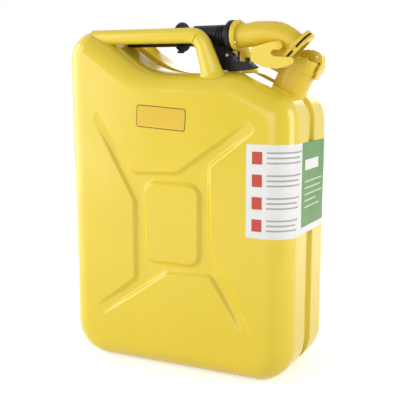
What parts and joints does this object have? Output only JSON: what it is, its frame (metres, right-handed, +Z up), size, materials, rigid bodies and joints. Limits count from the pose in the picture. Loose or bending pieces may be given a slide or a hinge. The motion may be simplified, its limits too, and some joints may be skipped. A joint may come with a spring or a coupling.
{
  "type": "steel fuel can with spout",
  "caption": "Upright pressed-steel fuel can with embossed cross, triple carrying bars, slanted capped neck and a clip-on pouring spout stowed between the bars.",
  "frame": {"origin": "bottom centre of the whole part's box, on the surface that it stands on", "axes": "+Z up, +X towards the filling neck, -Y the front face in the picture"},
  "size_m": [0.3581, 0.164, 0.4795],
  "materials": {
    "yellow_paint": "gloss powder coat",
    "black_plastic": "satin moulded",
    "black_rubber": "matt",
    "bright_steel": "zinc plated"
  },
  "bodies": {
    "can": {"front_shell": "yellow_paint", "rear_shell": "yellow_paint", "handle_front": "yellow_paint", "handle_centre": "yellow_paint", "handle_rear": "yellow_paint", "neck": "yellow_paint", "neck_hinge": "yellow_paint", "cap_hinge_pin": "bright_steel", "breather_tube": "bright_steel"},
    "cap": {"cap_lid": "yellow_paint", "cap_gasket": "black_rubber", "cap_lever_pin": "bright_steel"},
    "cap_latch": {"cap_lever": "yellow_paint"},
    "spout": {"nozzle_tube": "black_plastic", "stow_clip": "black_plastic", "nozzle_barrel": "black_plastic", "flange_gasket": "black_rubber", "flange_screw_1": "bright_steel", "flange_screw_2": "bright_steel", "flange_screw_3": "bright_steel", "elbow": "yellow_paint", "coupling_gasket": "black_rubber", "clamp_plate": "yellow_paint", "lever_rivet_front": "yellow_paint", "lever_rivet_rear": "yellow_paint", "trigger_pin": "bright_steel"},
    "clamp_lever": {"coupling_lever": "yellow_paint"},
    "trigger": {"trigger": "black_plastic"},
    "valve": {"valve_rod": "black_plastic"}
  },
  "joints": [
    {"name": "cap_swing", "type": "hinge", "parent": "can", "child": "cap", "pos_m": [0.115, 0, 0.43851], "axis": [0, -1, 0], "range_deg": [0, 110]},
    {"name": "cap_lever_swing", "type": "hinge", "parent": "cap", "child": "cap_latch", "pos_m": [0.16708, 0, 0.43188], "axis": [0, -1, 0], "range_deg": [0, 45]},
    {"name": "spout_lift", "type": "slide", "parent": "can", "child": "spout", "axis": [0, 0, 1], "range_m": [0, 0.08]},
    {"name": "clamp_lever_swing", "type": "hinge", "parent": "spout", "child": "clamp_lever", "pos_m": [0.13997, -0.04939, 0.4455], "axis": [-0.1132, -0.9936, 0], "range_deg": [0, 40]},
    {"name": "trigger_squeeze", "type": "hinge", "parent": "spout", "child": "trigger", "pos_m": [0.05751, -0.04, 0.4345], "axis": [-0.1132, -0.9936, 0], "range_deg": [0, 7], "stiffness_Nm_per_rad": 1, "springref_deg": -5.73},
    {"name": "valve_lift", "type": "slide", "parent": "spout", "child": "valve", "axis": [0, 0, 1], "range_m": [0, 0.002]}
  ],
  "couplings": [
    {"joint": "valve_lift", "follows": "trigger_squeeze", "m_per_rad": 0.0159}
  ]
}
